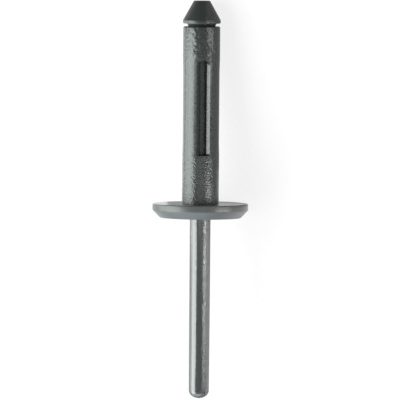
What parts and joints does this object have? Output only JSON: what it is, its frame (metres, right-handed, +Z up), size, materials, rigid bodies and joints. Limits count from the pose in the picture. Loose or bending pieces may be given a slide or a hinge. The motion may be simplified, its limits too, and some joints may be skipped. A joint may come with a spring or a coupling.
{
  "type": "plastic blind rivet",
  "caption": "Black plastic blind rivet, unset: a slotted sleeve with a wide bevelled flange around a mandrel with a conical head and a long round-ended stem.",
  "frame": {"origin": "on the floor that the rivet lies on, at the middle of its length and width", "axes": "+Y along the rivet towards the mandrel's head, +Z up; the rivet's axis dips towards the head, because it rests on the flange's rim and the head's edge"},
  "size_m": [0.016, 0.0664, 0.016],
  "materials": {
    "sleeve_nylon": "satin",
    "mandrel_nylon": "gloss"
  },
  "bodies": {
    "root": {"sleeve": "sleeve_nylon", "mandrel": "mandrel_nylon"}
  },
  "joints": []
}
